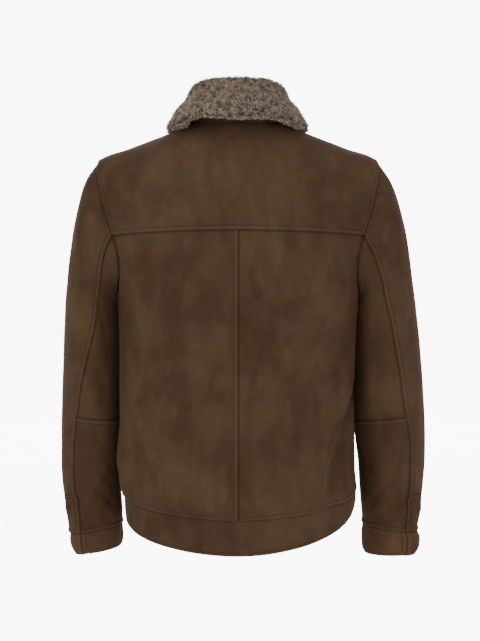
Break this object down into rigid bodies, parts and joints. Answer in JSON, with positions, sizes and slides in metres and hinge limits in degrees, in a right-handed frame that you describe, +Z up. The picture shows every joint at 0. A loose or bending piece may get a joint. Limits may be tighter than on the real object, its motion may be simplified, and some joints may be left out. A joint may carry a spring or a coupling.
{
  "type": "suede jacket",
  "caption": "Waist-length suede jacket with a turned-down shearling collar, back yoke, waistband and lapped cuffs, filled out as when worn.",
  "frame": {"origin": "middle of the neck opening, at the height of the neck seam's side points, where the wearer's shoulders hold the jacket up", "axes": "+Z up the body, +Y towards the back, +X towards the wearer's left"},
  "size_m": [0.6259, 0.2723, 0.812],
  "materials": {
    "suede": "matt napped suede, dark brown",
    "shearling": "curly sheep's wool on hide, taupe grey",
    "horn": "satin dark brown"
  },
  "bodies": {
    "root": {"yoke": "suede", "back_left": "suede", "back_right": "suede", "front_left": "suede", "front_right": "suede", "front_strip": "suede", "waistband": "suede", "sleeve_top_left": "suede", "sleeve_top_right": "suede", "sleeve_upper_left": "suede", "sleeve_upper_right": "suede", "sleeve_lower_left": "suede", "sleeve_lower_right": "suede", "vent_left": "suede", "vent_right": "suede", "cuff_left": "suede", "cuff_right": "suede", "collar": "shearling", "button_front_1": "horn", "button_front_2": "horn", "button_front_3": "horn", "button_front_4": "horn", "button_front_5": "horn", "button_front_6": "horn", "button_waistband": "horn"}
  },
  "joints": []
}
